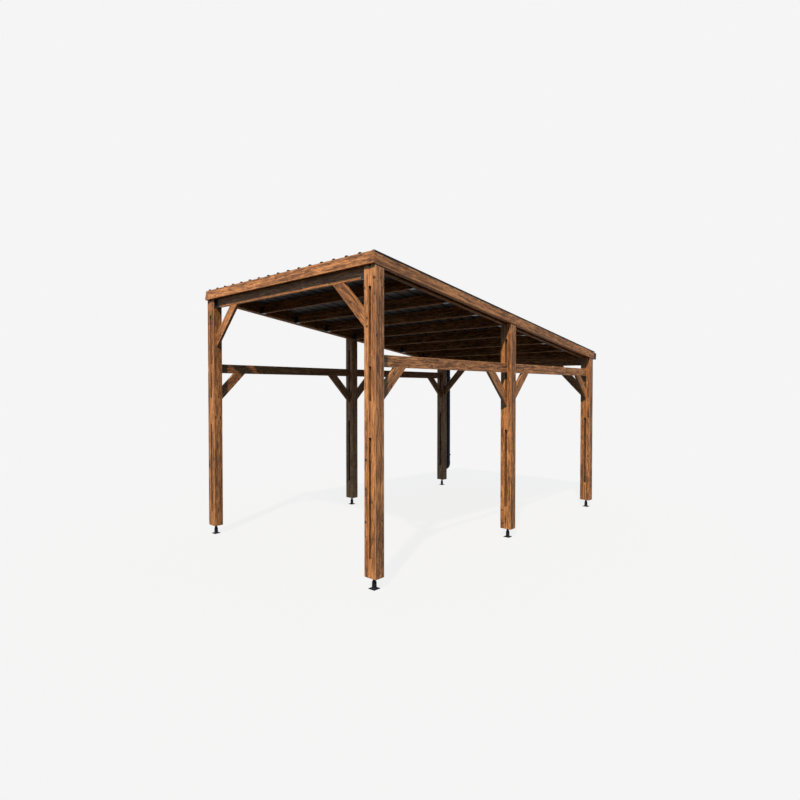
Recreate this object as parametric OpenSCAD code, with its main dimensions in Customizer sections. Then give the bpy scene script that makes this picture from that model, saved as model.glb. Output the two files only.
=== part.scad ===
// Open timber carport with a monopitch sheet roof, rear gutter and downpipe.
// Millimetres, +Z up, +Y from the high front to the low rear, origin on the ground at the centre.

/* [Plan] */
// Distance between post rows, front to rear
post_pitch = 2400; // [1800:10:2800]
// Distance between the centres of the left and right posts
span = 2910; // [2400:10:3600]

/* [Heights] */
// Ground to the underside of the side beams at the front posts
front_height = 3005; // [2800:5:3300]
// Ground to the underside of the side beams at the rear posts
rear_height = 2362; // [2330:5:2500]
// Ground to the underside of the posts
foot_height = 110; // [90:1:160]
// Gap between the side rails and the side beams at the rear posts
rail_gap = 162; // [60:1:240]

/* [Timber] */
// Thickness of each of the two planks of a post, and of the side beams
plank_t = 57; // [45:1:70]
// Thickness of rails, headers, braces, purlins and spacer blocks
board_t = 36; // [28:1:45]
// Width of the boards of posts, rails, headers, braces and fascias
board_w = 115; // [95:1:125]
// Width of the side beams and purlins
beam_w = 124; // [116:1:140]
// Thickness of the side fascia boards
side_fascia_t = 57; // [30:1:60]
// Thickness of the front and rear fascia boards
end_fascia_t = 25; // [18:1:32]
// How far the side fascia stands out past the posts
fascia_overhang = 7; // [2:1:12]

/* [Spacer blocks] */
// Height of the bottom blocks of the front posts
front_bottom_block = 180; // [120:1:260]
// Height of the bottom blocks of the middle and rear posts
low_bottom_block = 280; // [120:1:320]
// Length of the blocks that carry the side braces
brace_block = 343; // [250:1:360]
// Length of the blocks under the side beams
top_block = 180; // [120:1:200]

/* [Braces] */
// Height of a side brace on the corner posts
corner_brace_leg = 372; // [320:1:420]
// Height of a side brace on the middle posts
middle_brace_leg = 430; // [330:1:450]
// Height of the braces under the headers
header_brace_leg = 495; // [400:1:600]
// How far the front header hangs below the side beams
header_drop = 88; // [60:1:100]
// How far the rear header hangs below the side beams
rear_header_drop = 103; // [60:1:110]

/* [Roof] */
// Number of purlins
purlin_count = 9; // [5:1:11]
// First and last purlin, in from the front and rear post rows
purlin_inset = 100; // [100:1:160]
// Distance between the ribs of the sheet
rib_pitch = 185.6; // [150:0.1:230]
// Height of the ribs of the sheet
rib_h = 11; // [8:1:25]
// Thickness of the sheet
sheet_t = 1.5; // [1:0.1:3]

/* [Drainage] */
// Width of the gutter
gutter_w = 80; // [75:1:110]
// Height of the gutter
gutter_h = 96; // [80:1:105]
// Diameter of the downpipe
pipe_d = 76; // [60:1:78]
// Height of the lower bend of the downpipe above the ground
pipe_end = 410; // [330:5:600]

/* [Feet and hangers] */
// Side of the square foot plate
plate_w = 80; // [76:1:110]
// Diameter of the sleeve of the foot
sleeve_d = 40; // [34:1:44]
// Distance between the anchor holes of the foot plate
anchor_pitch = 56; // [54:1:60]
// Diameter of the anchor holes
anchor_d = 9; // [7:0.5:11]
// Thickness of the hanger steel
hanger_t = 2; // [1.5:0.5:3]
// Reach of a purlin hanger along its purlin
purlin_hanger = 70; // [50:1:90]
// Reach of a header hanger along its header
header_hanger = 80; // [60:1:100]

/* [Hidden] */
$fn = 48;

// Plan of one post
post_x = 2 * plank_t + board_t;
half_x = span / 2;
inner_x = half_x - post_x / 2;
outer_x = half_x + post_x / 2;
half_w = board_w / 2;
length = 2 * post_pitch;

// Fall of the roof: u runs down the slope from the front posts, n stands square to it
pitch = atan((front_height - rear_height) / length);
fascia_x = outer_x + fascia_overhang;
beam_lap = 8;
beam_cut = 9;
beam_front = -(half_w + beam_lap) / cos(pitch);
beam_rear = (length + half_w - beam_cut) / cos(pitch);
front_face = beam_front - end_fascia_t;
rear_face = beam_rear + end_fascia_t;
fascia_n = beam_w - board_w;

// Gutter in its straps against the rear fascia, leaning with it, below the drip of the sheet
sheet_drip = 24;
sheet_clear = 17;
strap_t = 3;
strap_w = 25;
gutter_u = rear_face + strap_t;
gutter_n = beam_w - sheet_clear - gutter_h;
gutter_wall = 2;
gutter_bead = 4;

// Rails and brace seats
rail_height = rear_height - rail_gap - board_w;
rail_top = rail_height + board_w;
cut_w = board_w * sqrt(2);
tail_clear = 1;

// Downpipe behind the rear left post
pipe_wall = 2;
pipe_set = 12;
pipe_x = -inner_x - pipe_set;
outlet_reach = 60;
outlet_end = pipe_x + outlet_reach;
pipe_y = (gutter_u + gutter_w / 2) * cos(pitch) + gutter_n * sin(pitch);
pipe_top = front_height - (gutter_u - gutter_w) * sin(pitch) + gutter_n;
bend_r = 72;
bend_angle = 78;
socket_h = 56;
socket_step = 8;
socket_clear = 0.4;
clip_h = 24;
clip_t = 3;
clip_rod = 10;
clip_foot = 22;

// Centre of the whole carport, from the front posts
front_end = front_face * cos(pitch);
strap_top = gutter_h - 2 * gutter_bead;
rear_end = (gutter_u + gutter_w + strap_t) * cos(pitch) + (gutter_n + strap_top) * sin(pitch);
mid_y = (front_end + rear_end) / 2;

// Foot
plate_t = 5;
collar_h = 10;
collar_flare = 8;
rod_d = 24;
rod_show = 12;
nut_h = 14;
nut_d = 42;
head_inset = 8;

// Hanger flanges, and ribs of the sheet
purlin_flange = 28;
purlin_hanger_cut = 32;
header_flange = 26;
header_hanger_cut = 9;
cheek_neck = 0.55;
cheek_foot = 0.25;
rib_foot = 44;
rib_crown = 24;
rib_shift = 20;

WOOD = [0.70, 0.47, 0.30];
END_WOOD = [0.62, 0.40, 0.25];
STEEL = [0.06, 0.06, 0.07];
SLATE = [0.15, 0.20, 0.27];

// Underside of the side beams at a distance y from the front posts
function beam_z(y) = front_height - y * tan(pitch);
function row_y(row) = row * post_pitch;
function bottom_block(row) = row == 0 ? front_bottom_block : low_bottom_block;
function brace_leg(row) = row == 1 ? middle_brace_leg : corner_brace_leg;
// Top of the block on which the side braces of a row stand
function brace_seat(row) = rail_height - brace_leg(row) + 0.45 * board_w;
// Underside of the header of a row
function header_z(row) = beam_z(row_y(row)) - (row == 0 ? header_drop : rear_header_drop);
// The ribs lie a little off centre, as the sheets are laid from one side
function rib_x(i) = rib_shift + i * rib_pitch;
function purlin_u(i) = (purlin_inset + i * (length - 2 * purlin_inset) / (purlin_count - 1)) / cos(pitch);

// Moves the front post line to its place around the origin
module placed() {
    translate([0, -mid_y, 0])
        children();
}

// Frame of the roof: X across, Y down the slope, Z square to it from the underside of the beams
module on_slope() {
    placed()
        translate([0, 0, front_height])
            rotate([-pitch, 0, 0])
                children();
}

// Board with an outline of [y, z] points, from x to x + t
module board_yz(points, x, t) {
    translate([x, 0, 0])
        rotate([90, 0, 90])
            linear_extrude(t)
                polygon(points);
}

// Board with an outline of [x, z] points, from y to y + t
module board_xz(points, y, t) {
    translate([0, y + t, 0])
        rotate([90, 0, 0])
            linear_extrude(t)
                polygon(points);
}

// Box between two corners
module box(low, high) {
    translate(low)
        cube(high - low);
}

// Upright layer of a post, from z0 up to the slope that lies n above the underside of the beams
module under_roof(row, x, t, z0, n) {
    y0 = row_y(row) - half_w;
    y1 = row_y(row) + half_w;
    rise = n / cos(pitch);
    board_yz([[y0, z0], [y1, z0], [y1, beam_z(y1) + rise], [y0, beam_z(y0) + rise]], x, t);
}

// Two planks of a post, with the slot between them: the inner one carries the beam, the outer one the fascia
module post(row, side) {
    color(WOOD)
        placed()
            for (layer = [[inner_x, 0], [outer_x - plank_t, fascia_n]])
                under_roof(row, side > 0 ? layer[0] : -layer[0] - plank_t, plank_t, foot_height, layer[1]);
}

// Spacer blocks between the planks: at the bottom, under the braces and under the beams
module blocks(row, side) {
    x = side * half_x - board_t / 2;
    low = row_y(row) - half_w;
    seat = brace_seat(row);
    top = max(beam_z(row_y(row)) - top_block, rail_top);
    color(END_WOOD)
        placed() {
            box([x, low, foot_height], [x + board_t, low + board_w, foot_height + bottom_block(row)]);
            box([x, low, seat - brace_block], [x + board_t, low + board_w, seat]);
            under_roof(row, x, board_t, top, 0);
        }
}

// Screw foot: anchored plate, flared sleeve, nut and rod under the post
module foot(row, side) {
    rod_top = foot_height - plate_t;
    sleeve_top = rod_top - nut_h - rod_show;
    head_w = plate_w - 2 * head_inset;
    color(STEEL)
        placed()
            translate([side * half_x, row_y(row), 0]) {
                difference() {
                    translate([-plate_w / 2, -plate_w / 2, 0])
                        cube([plate_w, plate_w, plate_t]);
                    for (x = [-1, 1], y = [-1, 1])
                        translate([x * anchor_pitch / 2, y * anchor_pitch / 2, -1])
                            cylinder(h = plate_t + 2, d = anchor_d);
                }
                translate([0, 0, plate_t])
                    cylinder(h = collar_h, d1 = sleeve_d + 2 * collar_flare, d2 = sleeve_d);
                cylinder(h = sleeve_top, d = sleeve_d);
                translate([0, 0, sleeve_top])
                    cylinder(h = nut_h, d = nut_d, $fn = 6);
                cylinder(h = rod_top, d = rod_d);
                translate([-head_w / 2, -head_w / 2, rod_top])
                    cube([head_w, head_w, plate_t]);
            }
}

// Rail through the slots of one row of posts
module rail(side) {
    x = side * half_x - board_t / 2;
    color(WOOD)
        placed()
            box([x, -half_w, rail_height], [x + board_t, length + half_w, rail_top]);
}

// Brace from a post up to the rail: its tail enters the slot and stands on the spacer block
module side_brace(row, way, side) {
    leg = brace_leg(row);
    foot_z = rail_height - leg;
    seat = brace_seat(row);
    tail = half_w - tail_clear;
    face = row_y(row) + way * half_w;
    outline = [[leg, rail_height], [0, foot_z], [0, seat], [-tail, seat],
        [-tail, foot_z + cut_w - tail], [leg - cut_w, rail_height]];
    color(WOOD)
        placed()
            board_yz([for (p = outline) [face + way * p[0], p[1]]], side * half_x - board_t / 2, board_t);
}

// The two braces of one bay on one side
module side_braces(bay, side) {
    side_brace(bay, 1, side);
    side_brace(bay + 1, -1, side);
}

// Header between the posts of one row
module header(row) {
    y = row_y(row) - board_t / 2;
    z = header_z(row);
    color(WOOD)
        placed()
            box([-inner_x, y, z], [inner_x, y + board_t, z + board_w]);
}

// Braces from the inner planks to the header
module header_braces(row) {
    z = header_z(row);
    leg = header_brace_leg;
    outline = [[inner_x - leg, z], [inner_x - leg + cut_w, z], [inner_x, z - leg + cut_w], [inner_x, z - leg]];
    color(WOOD)
        placed()
            for (s = [-1, 1])
                board_xz([for (p = outline) [s * p[0], p[1]]], row_y(row) - board_t / 2, board_t);
}

// Joist hanger folded from sheet: seat, two cheeks and two flanges, closed end on the plane x = 0
module hanger(reach, height, flange) {
    half = board_t / 2;
    t = hanger_t;
    box([-reach, -half - t, -t], [0, half + t, 0]);
    for (s = [0, 1])
        mirror([0, s, 0]) {
            // Cheek that stands wide on its seat and narrows to an upright neck
            translate([0, half + t, 0])
                rotate([90, 0, 0])
                    linear_extrude(t)
                        polygon([[-reach, -t], [0, -t], [0, height], [-reach * cheek_neck, height],
                            [-reach * cheek_neck, reach * cheek_neck], [-reach, reach * cheek_foot]]);
            box([-t, half, -t], [0, half + t + flange, height]);
        }
}

// Hangers that carry the ends of a header on the inner planks
module header_hangers(row) {
    color(SLATE)
        placed()
            for (s = [0, 1])
                mirror([s, 0, 0])
                    translate([inner_x, row_y(row), header_z(row)])
                        hanger(header_hanger, board_w - header_hanger_cut, header_flange);
}

// Inner side beam on the inner planks
module beam(side) {
    x = side > 0 ? inner_x : -inner_x - plank_t;
    color(WOOD)
        on_slope()
            box([x, beam_front, 0], [x + plank_t, beam_rear, beam_w]);
}

// Side fascia on the outer planks, mitred at both ends
module side_fascia(side) {
    x = fascia_x;
    t = side_fascia_t;
    outline = [[x, front_face], [x, rear_face], [x - t, beam_rear], [x - t, beam_front]];
    color(WOOD)
        on_slope()
            translate([0, 0, fascia_n])
                linear_extrude(board_w)
                    polygon([for (p = outline) [side * p[0], p[1]]]);
}

// Front or rear fascia against the ends of the beams, mitred into the side fascias
module end_fascia(outside, inside) {
    x = fascia_x;
    t = side_fascia_t;
    color(WOOD)
        on_slope()
            translate([0, 0, fascia_n])
                linear_extrude(board_w)
                    polygon([[-x, outside], [x, outside], [x - t, inside], [-x + t, inside]]);
}

// Purlins between the side beams
module purlins() {
    color(WOOD)
        on_slope()
            for (i = [0 : purlin_count - 1])
                translate([0, purlin_u(i), 0])
                    box([-inner_x, -board_t / 2, 0], [inner_x, board_t / 2, beam_w]);
}

// Hangers that carry the purlins on one side beam
module purlin_hangers(side) {
    color(SLATE)
        on_slope()
            for (i = [0 : purlin_count - 1])
                mirror([side > 0 ? 0 : 1, 0, 0])
                    translate([inner_x, purlin_u(i), 0])
                        hanger(purlin_hanger, beam_w - purlin_hanger_cut, purlin_flange);
}

// Under line of the sheet across the roof: trapezoid ribs between flat pans
function sheet_line() =
    let (n = floor((fascia_x - rib_shift - rib_foot / 2) / rib_pitch), foot = rib_foot / 2, crown = rib_crown / 2)
    [for (i = [-n : n], p = [[-foot, 0], [-crown, rib_h], [crown, rib_h], [foot, 0]])
        [rib_x(i) + p[0], p[1]]];

// Ribbed roof sheet, laid along the slope
module roof_sheet() {
    under = concat([[-fascia_x, 0]], sheet_line(), [[fascia_x, 0]]);
    outline = concat(under, [for (i = [len(under) - 1 : -1 : 0]) under[i] + [0, sheet_t]]);
    color(STEEL)
        on_slope()
            translate([0, rear_face + sheet_drip, beam_w])
                rotate([90, 0, 0])
                    linear_extrude(rear_face + sheet_drip - front_face)
                        polygon(outline);
}

// Section of the gutter across its run, drawn inset from its outside and open at the top
module gutter_section(inset) {
    translate([inset, inset])
        square([gutter_w - 2 * inset, gutter_h - inset]);
}

// Stretch of a section that runs across the roof, from x to x + run, at the place of the gutter
module gutter_run(x, run) {
    translate([x, gutter_u, gutter_n])
        rotate([90, 0, 90])
            linear_extrude(run)
                children();
}

// Bore of the downpipe, upright through the outlet of the gutter
module pipe_bore() {
    placed()
        translate([pipe_x, pipe_y, 0])
            cylinder(h = pipe_top, d = pipe_d - 2 * pipe_wall);
}

// Stretch of the flat sole of the gutter from x0 to x1
module gutter_sole(x0, x1) {
    on_slope()
        gutter_run(x0, x1 - x0)
            square([gutter_w, gutter_wall]);
}

// Sole of the gutter, from the outlet piece to the right end
module gutter() {
    color(SLATE)
        gutter_sole(outlet_end, fascia_x - gutter_wall);
}

// Outlet piece of the sole, bored for the downpipe
module gutter_outlet() {
    color(SLATE)
        difference() {
            gutter_sole(gutter_wall - fascia_x, outlet_end);
            pipe_bore();
        }
}

// Upright leaves of the gutter, the outer one with a bead rolled round its top
module gutter_leaves() {
    color(SLATE)
        on_slope()
            gutter_run(gutter_wall - fascia_x, 2 * (fascia_x - gutter_wall)) {
                for (u = [0, gutter_w - gutter_wall])
                    translate([u, gutter_wall])
                        square([gutter_wall, gutter_h - gutter_wall]);
                translate([gutter_w - gutter_wall / 2, gutter_h - gutter_bead])
                    circle(gutter_bead);
            }
}

// Stop ends that close the gutter
module gutter_ends() {
    color(SLATE)
        on_slope()
            for (x = [-fascia_x, fascia_x - gutter_wall])
                gutter_run(x, gutter_wall)
                    gutter_section(0);
}

// Straps that hug the gutter and hold it on the rear fascia
module gutter_brackets() {
    count = 6;
    step = 2 * inner_x / count;
    color(STEEL)
        on_slope()
            for (i = [0 : count - 1])
                gutter_run((i - (count - 1) / 2) * step - strap_w / 2, strap_w)
                    difference() {
                        gutter_section(-strap_t);
                        gutter_section(0);
                        translate([gutter_w / 2, strap_top])
                            square([gutter_w, gutter_h]);
                    }
}

// Ring section of the downpipe
module pipe_section() {
    difference() {
        circle(d = pipe_d);
        circle(d = pipe_d - 2 * pipe_wall);
    }
}

// Straight downpipe from the outlet of the gutter into the socket of the elbow
module downpipe() {
    color(SLATE)
        difference() {
            placed()
                translate([pipe_x, pipe_y, pipe_end])
                    linear_extrude(pipe_top - pipe_end)
                        pipe_section();
            on_slope()
                gutter_run(-fascia_x, fascia_x)
                    translate([-gutter_w, 0])
                        square([3 * gutter_w, 3 * gutter_h]);
        }
}

// Open elbow that throws the water outwards, with a socket round the end of the downpipe
module pipe_elbow() {
    inside = pipe_d / 2 - pipe_wall;
    seat = pipe_d / 2;
    bell = seat + socket_clear;
    color(SLATE)
        placed()
            translate([pipe_x, pipe_y, pipe_end - socket_step]) {
                rotate_extrude()
                    polygon([[inside, 0], [seat, 0], [bell + pipe_wall, socket_step],
                        [bell + pipe_wall, socket_h], [bell, socket_h], [bell, socket_step],
                        [inside, socket_step]]);
                translate([-bend_r, 0, 0])
                    rotate([-90, 0, 0])
                        rotate_extrude(angle = bend_angle)
                            translate([bend_r, 0])
                                pipe_section();
            }
}

// Ring clips that hold the downpipe on the rear left post
module pipe_clips() {
    r = pipe_d / 2;
    back = length + half_w;
    color(STEEL)
        placed()
            for (z = [pipe_end + 3 * socket_h, rail_height])
                translate([pipe_x, pipe_y, z])
                    difference() {
                        union() {
                            cylinder(h = clip_h, r = r + clip_t);
                            translate([0, 0, clip_h / 2])
                                rotate([90, 0, 0])
                                    cylinder(h = pipe_y - back, d = clip_rod);
                            translate([0, back + clip_t - pipe_y, clip_h / 2])
                                rotate([90, 0, 0])
                                    cylinder(h = clip_t, d = clip_foot);
                        }
                        translate([0, 0, -1])
                            cylinder(h = clip_h + 2, r = r);
                    }
}

post(0, 1);  // post_front_right
post(0, -1);  // post_front_left
post(1, 1);  // post_mid_right
post(1, -1);  // post_mid_left
post(2, 1);  // post_rear_right
post(2, -1);  // post_rear_left
blocks(0, 1);  // blocks_front_right
blocks(0, -1);  // blocks_front_left
blocks(1, 1);  // blocks_mid_right
blocks(1, -1);  // blocks_mid_left
blocks(2, 1);  // blocks_rear_right
blocks(2, -1);  // blocks_rear_left
foot(0, 1);  // foot_front_right
foot(0, -1);  // foot_front_left
foot(1, 1);  // foot_mid_right
foot(1, -1);  // foot_mid_left
foot(2, 1);  // foot_rear_right
foot(2, -1);  // foot_rear_left
rail(1);  // rail_right
rail(-1);  // rail_left
side_braces(0, 1);  // braces_front_bay_right
side_braces(0, -1);  // braces_front_bay_left
side_braces(1, 1);  // braces_rear_bay_right
side_braces(1, -1);  // braces_rear_bay_left
header(0);  // header_front
header(2);  // header_rear
header_braces(0);  // header_braces_front
header_braces(2);  // header_braces_rear
header_hangers(0);  // header_hangers_front
header_hangers(2);  // header_hangers_rear
beam(1);  // beam_right
beam(-1);  // beam_left
side_fascia(1);  // fascia_right
side_fascia(-1);  // fascia_left
end_fascia(front_face, beam_front);  // fascia_front
end_fascia(rear_face, beam_rear);  // fascia_rear
purlins();
purlin_hangers(1);  // purlin_hangers_right
purlin_hangers(-1);  // purlin_hangers_left
roof_sheet();
gutter();
gutter_outlet();
gutter_leaves();
gutter_ends();
gutter_brackets();
downpipe();
pipe_elbow();
pipe_clips();
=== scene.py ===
"""Looks of an open timber carport: stained boards, screw feet, hangers, ribbed sheet and gutter."""

import math
import random
import zlib

import bmesh
import bpy
from bpy.props import FloatProperty, FloatVectorProperty, IntProperty, PointerProperty
from mathutils import Matrix, Vector, noise


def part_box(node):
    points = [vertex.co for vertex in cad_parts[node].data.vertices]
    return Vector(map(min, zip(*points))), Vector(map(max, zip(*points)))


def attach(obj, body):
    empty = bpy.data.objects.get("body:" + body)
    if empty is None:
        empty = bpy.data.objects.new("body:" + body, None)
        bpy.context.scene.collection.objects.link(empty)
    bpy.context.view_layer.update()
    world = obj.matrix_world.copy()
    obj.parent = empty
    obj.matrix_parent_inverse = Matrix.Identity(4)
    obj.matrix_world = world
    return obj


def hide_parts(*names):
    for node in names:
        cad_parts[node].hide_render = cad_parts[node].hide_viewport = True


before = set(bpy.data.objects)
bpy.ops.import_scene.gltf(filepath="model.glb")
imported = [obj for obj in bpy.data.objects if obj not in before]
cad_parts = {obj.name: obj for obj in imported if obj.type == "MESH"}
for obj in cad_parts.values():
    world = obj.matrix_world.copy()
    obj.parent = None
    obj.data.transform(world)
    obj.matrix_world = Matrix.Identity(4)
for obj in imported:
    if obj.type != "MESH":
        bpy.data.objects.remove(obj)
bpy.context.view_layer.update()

bl_info = {
    "name": "Timber carport",
    "version": (1, 0, 0),
    "blender": (4, 5, 0),
    "location": "View3D > Sidebar > Carport",
    "description": "Dresses the carport frame in stained boards, steel, sheet and a studio",
    "category": "Add Mesh",
}

# Boards drawn lighter or darker than the rest; on the right beam this is painted shade, where the fascia shades it
BOARD_TONES_AND_SHADE = {
    "fascia_front": 0.04, "header_front": -0.06, "beam_right": -0.2, "rail_left": -0.09, "post_front_right": 0.06,
    "post_front_left": -0.06, "post_mid_right": -0.04, "post_rear_right": -0.09, "post_rear_left": -0.04,
}
# Painted shade on the faces inside the slots of the posts, deeper on the two posts that stand in the shade
SLOT_SHADE = -0.2
SLOT_SHADES = {"post_mid_left": -0.55, "post_rear_left": -0.55}
# Colours of the heart of a knot and the bottom of a drying crack
KNOT_CORE, CRACK = (0.02, 0.0095, 0.005), (0.016, 0.009, 0.005)
# Rows, sides and ends of the frame, with the way that a side or end faces along its axis
ROWS = ("front", "mid", "rear")
SIDES = {"right": 1, "left": -1}
ENDS = {"front": -1, "rear": 1}
POSTS = [(row, side) for row in ROWS for side in SIDES]
# Screw feet: thickness of their plates, heights of the sleeve and the nut, radius of the rod
PLATE_T, SLEEVE_TOP, NUT_TOP, ROD_R = 0.005, 0.079, 0.093, 0.012
# Roof sheet: its ribs counted from the middle, the radius of its bends and the gap behind its turned-down edges
RIBS, BEND_R, LIP_GAP = range(-8, 9), 0.003, 0.0003
# Height, as a share of the way up, at which the soft light has its full strength
SKY_RISE = 0.7


def colour(name, description, default):
    """Colour property in linear light."""
    return FloatVectorProperty(
        name=name, description=description, default=default, subtype="COLOR", size=3, min=0, max=1
    )


def size(name, description, default):
    """Length property in metres."""
    return FloatProperty(name=name, description=description, default=default, min=0, unit="LENGTH")


def strength(name, description, default):
    """Strength of a light."""
    return FloatProperty(name=name, description=description, default=default, min=0)


def share(name, description, default):
    """Share from none to all."""
    return FloatProperty(
        name=name, description=description, default=default, min=0, max=1, subtype="FACTOR"
    )


class TimberSettings(bpy.types.PropertyGroup):
    """Sizes and colours of the boards."""

    light: colour("Light wood", "Early wood between the rings", (0.60, 0.240, 0.067))
    middle: colour("Middle wood", "Main colour of the stain", (0.290, 0.110, 0.0290))
    dark: colour("Dark wood", "Streaks where the stain has gone in deepest", (0.088, 0.0365, 0.0112))
    arris: size("Arris", "Rounding of the long edges of a board", 0.003)
    chip: size("Chip", "Depth of the worst knocks in an edge", 0.004)
    streaks: share("Streaks", "Strength of the dark streaks", 0.8)
    knots: share("Knots", "Share of the places for a knot that have one", 0.42)
    oiled: share("Oiled gloss", "Gloss of the brushed and oiled boards", 0.28)
    sawn: share("Sawn gloss", "Gloss of the rough sawn boards under the roof", 0.08)


class SteelSettings(bpy.types.PropertyGroup):
    """Sizes and colours of the feet, hangers and fixings."""

    foot: colour("Foot steel", "Coat of the screw feet", (0.0075, 0.0095, 0.0125))
    hanger: colour("Hanger steel", "Coat of the joist hangers", (0.015, 0.018, 0.022))
    strap: colour("Strap steel", "Coat of the straps and pipe clips", (0.016, 0.02, 0.027))
    screw: colour("Screw steel", "Heads of the wood screws", (0.03, 0.028, 0.027))
    screw_d: size("Screw head", "Diameter of the wood screw heads", 0.0105)
    nail_d: size("Nail head", "Diameter of the nail heads in the hangers", 0.008)
    thread: size("Thread", "Pitch of the thread on the foot rods", 0.003)


class RoofSettings(bpy.types.PropertyGroup):
    """Sizes and colours of the sheet and the drainage."""

    sheet: colour("Sheet", "Coat of the roof sheet", (0.0095, 0.0105, 0.012))
    back: colour("Sheet back", "Matt coat on the underside of the sheet", (0.0090, 0.0074, 0.0064))
    drain: colour("Drainage", "Coat of the gutter and downpipe", (0.0105, 0.0145, 0.020))
    dust: colour("Dust", "Dry dirt on the upper faces", (0.21, 0.19, 0.16))
    rib_pitch: size("Rib pitch", "Distance between the ribs of the sheet", 0.1856)
    rib_foot: size("Rib foot", "Width of a rib at the pan", 0.044)
    rib_crown: size("Rib crown", "Width of a rib at its top", 0.024)
    rib_height: size("Rib height", "Height of a rib over the pan", 0.0135)
    pan_depth: size("Pan depth", "How far the pan lies below the top of the solid sheet", 0.011)
    rib_shift: size("Rib shift", "How far the middle rib lies off centre", 0.036)
    edge_rise: size("Edge rib height", "Height of the flattened rib along the right edge", 0.005)
    lip: size("Lip", "How far the side edges turn down over the fascias", 0.012)
    thickness: size("Thickness", "Thickness of the sheet", 0.0015)
    washer_d: size("Washer", "Diameter of the sealing washers", 0.016)
    sheets: IntProperty(name="Sheets", description="Sheets laid side by side", default=3, min=1)


class StageSettings(bpy.types.PropertyGroup):
    """Light, floor and camera."""

    backdrop: colour("Backdrop", "Floor and background as the camera sees them", (0.913, 0.913, 0.913))
    sky: colour("Sky", "Colour of the soft light", (0.20, 0.45, 0.95))
    zenith: strength("Zenith", "Strength of the soft light overhead", 1.6)
    horizon: strength("Horizon", "Strength of the soft light low down", 0.8)
    shadow: share("Shadow", "Share of the floor that takes the shadow", 0.035)
    bounce: share("Bounce", "How pale the floor is to the light it throws back", 0.02)
    sun: strength("Sun", "Strength of the key light", 5.2)
    sun_tint: colour("Sun tint", "Colour of the key light", (1.0, 0.88, 0.74))
    sun_angle: FloatProperty(
        name="Sun angle", description="Softness of its shadows", default=math.radians(2.5), subtype="ANGLE"
    )
    sun_way: FloatVectorProperty(
        name="Sun direction", description="The way the key light travels", default=(-0.31, 0.61, -0.776),
        subtype="DIRECTION", size=3
    )
    camera: FloatVectorProperty(
        name="Camera", description="Place of the camera", default=(4.9934, -5.9867, 1.8726),
        subtype="TRANSLATION", unit="LENGTH", size=3
    )
    camera_turn: FloatVectorProperty(
        name="Camera turn", description="Tilt and heading of the camera",
        default=(math.radians(88.8677), 0.0, math.radians(42.175)), subtype="EULER", size=3
    )
    lens: FloatProperty(name="Lens", description="Focal length in millimetres", default=24.121, min=1)


class Graph:
    """Short calls that place shader nodes in a tree."""

    def __init__(self, tree):
        self.tree = tree

    def node(self, kind, settings=None, **inputs):
        made = self.tree.nodes.new("ShaderNode" + kind)
        for name, value in (settings or {}).items():
            setattr(made, name, value)
        for name, value in inputs.items():
            self.put(made.inputs[name.replace("_", " ")], value)
        return made

    def put(self, socket, value):
        if isinstance(value, bpy.types.NodeSocket):
            self.tree.links.new(value, socket)
        else:
            socket.default_value = value

    def math(self, operation, *values, kind="Math"):
        made = self.node(kind, {"operation": operation})
        for socket, value in zip(made.inputs, values):
            self.put(socket, value)
        return made.outputs[0]

    def vector(self, operation, *values):
        return self.math(operation, *values, kind="VectorMath")

    def times(self, a, b):
        return self.math("MULTIPLY", a, b)

    def minus(self, a, b):
        return self.math("SUBTRACT", a, b)

    def rest(self, value):
        """What a value leaves of one."""
        return self.minus(1.0, value)

    def total(self, *values):
        made = values[0]
        for value in values[1:]:
            made = self.math("ADD", made, value)
        return made

    def swing(self, value, amount):
        """A value around a half, made to swing around nothing by an amount."""
        return self.times(self.minus(value, 0.5), amount)

    def join(self, x, y, z):
        return self.node("CombineXYZ", X=x, Y=y, Z=z).outputs[0]

    def split(self, vector):
        return self.node("SeparateXYZ", Vector=vector).outputs

    def noise(self, vector, stretch, detail=3.0, rough=0.55):
        stretched = self.vector("MULTIPLY", vector, stretch)
        return self.node("TexNoise", Vector=stretched, Scale=1.0, Detail=detail, Roughness=rough).outputs[0]

    def chance(self, seed):
        return self.node("TexWhiteNoise", {"noise_dimensions": "1D"}, W=seed).outputs[0]

    def step(self, value, low, high):
        settings = {"interpolation_type": "SMOOTHSTEP"}
        return self.node("MapRange", settings, Value=value, From_Min=low, From_Max=high).outputs[0]

    def mix(self, factor, a, b, blend="MIX"):
        made = self.node("Mix", {"data_type": "RGBA", "blend_type": blend})
        for socket, value in ((made.inputs[0], factor), (made.inputs[6], a), (made.inputs[7], b)):
            self.put(socket, (*value, 1.0) if isinstance(value, tuple) and len(value) == 3 else value)
        return made.outputs[2]


def new_group(name, **inputs):
    """Empty shader group for a surface with its named inputs, and its graph, inputs and outputs."""
    tree = bpy.data.node_groups.new(name, "ShaderNodeTree")
    outputs = {"Colour": "Color", "Roughness": "Float", "Height": "Float"}
    for way, sockets in (("INPUT", inputs), ("OUTPUT", outputs)):
        for title, kind in sockets.items():
            tree.interface.new_socket(name=title, in_out=way, socket_type="NodeSocket" + kind)
    given, out = tree.nodes.new("NodeGroupInput"), tree.nodes.new("NodeGroupOutput")
    return tree, Graph(tree), given.outputs, out.inputs


def knot_field(g, place, scale, amount, inner, outer):
    """Knots in some cells of a stretched cell pattern: their cores, halos and distance across the grain."""
    cells = g.vector("MULTIPLY", place, scale)
    knot = g.node("TexVoronoi", Vector=cells, Scale=1.0, Randomness=0.9)
    near = knot.outputs["Distance"]
    there = g.math("GREATER_THAN", g.split(knot.outputs["Color"])[0], g.rest(amount))
    core = g.times(g.rest(g.step(near, inner, outer)), there)
    halo = g.times(g.rest(g.step(near, 0.07, 0.36)), there)
    return core, halo, g.split(g.vector("SUBTRACT", cells, knot.outputs["Position"]))[1]


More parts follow.
